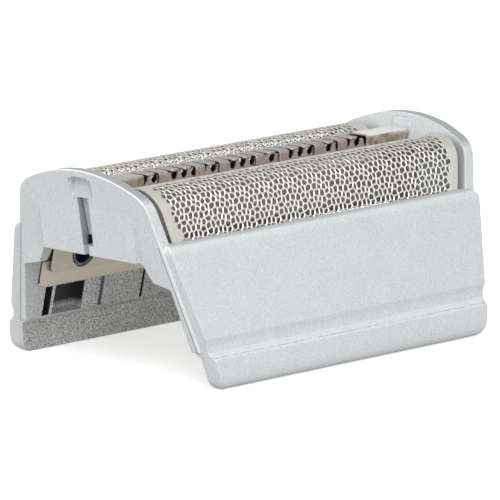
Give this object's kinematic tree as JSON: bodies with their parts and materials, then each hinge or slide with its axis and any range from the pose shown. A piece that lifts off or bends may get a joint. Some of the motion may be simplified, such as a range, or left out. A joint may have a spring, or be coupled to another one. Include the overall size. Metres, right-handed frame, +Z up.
{
  "type": "shaver foil head",
  "caption": "Clip-on foil head for a dry shaver: arched perforated foils and a floating slotted trimmer in a silver frame with leaning ends and banded skirts.",
  "frame": {"origin": "middle of the bottom of the overall box, on the plane of the skirts' lower edges", "axes": "+X along the foils, -Y towards the front skirt, +Z up towards the shaving side"},
  "size_m": [0.0594, 0.0358, 0.0254],
  "materials": {
    "silver_paint": "silver metallic paint on a moulded plastic frame, satin",
    "foil_nickel": "thin electroformed nickel sheet with a warm tint",
    "strip_steel": "plain stamped sheet",
    "channel_plastic": "dark grey moulded plastic",
    "comb_steel": "ground and folded steel with a brownish tint",
    "blade_steel": "ground steel",
    "carrier_plastic": "light grey moulded plastic",
    "spring_steel": "bright drawn wire"
  },
  "bodies": {
    "housing": {"frame": "silver_paint", "front_foil": "foil_nickel", "rear_foil": "foil_nickel", "front_foil_strip": "strip_steel", "rear_foil_strip": "strip_steel", "trimmer_channel": "channel_plastic", "left_float_spring": "spring_steel", "right_float_spring": "spring_steel"},
    "trimmer": {"trimmer_comb": "comb_steel", "trimmer_carrier": "carrier_plastic"},
    "blade": {"trimmer_blade": "blade_steel", "blade_driver": "carrier_plastic"}
  },
  "joints": [
    {"name": "trimmer_float", "type": "slide", "parent": "housing", "child": "trimmer", "axis": [0, 0, 1], "range_m": [-0.0011, 0], "stiffness_N_per_m": 150, "springref_m": 0.002, "deforming": ["left_float_spring", "right_float_spring"]},
    {"name": "blade_run", "type": "slide", "parent": "trimmer", "child": "blade", "axis": [1, 0, 0], "range_m": [-0.001, 0.001]}
  ]
}
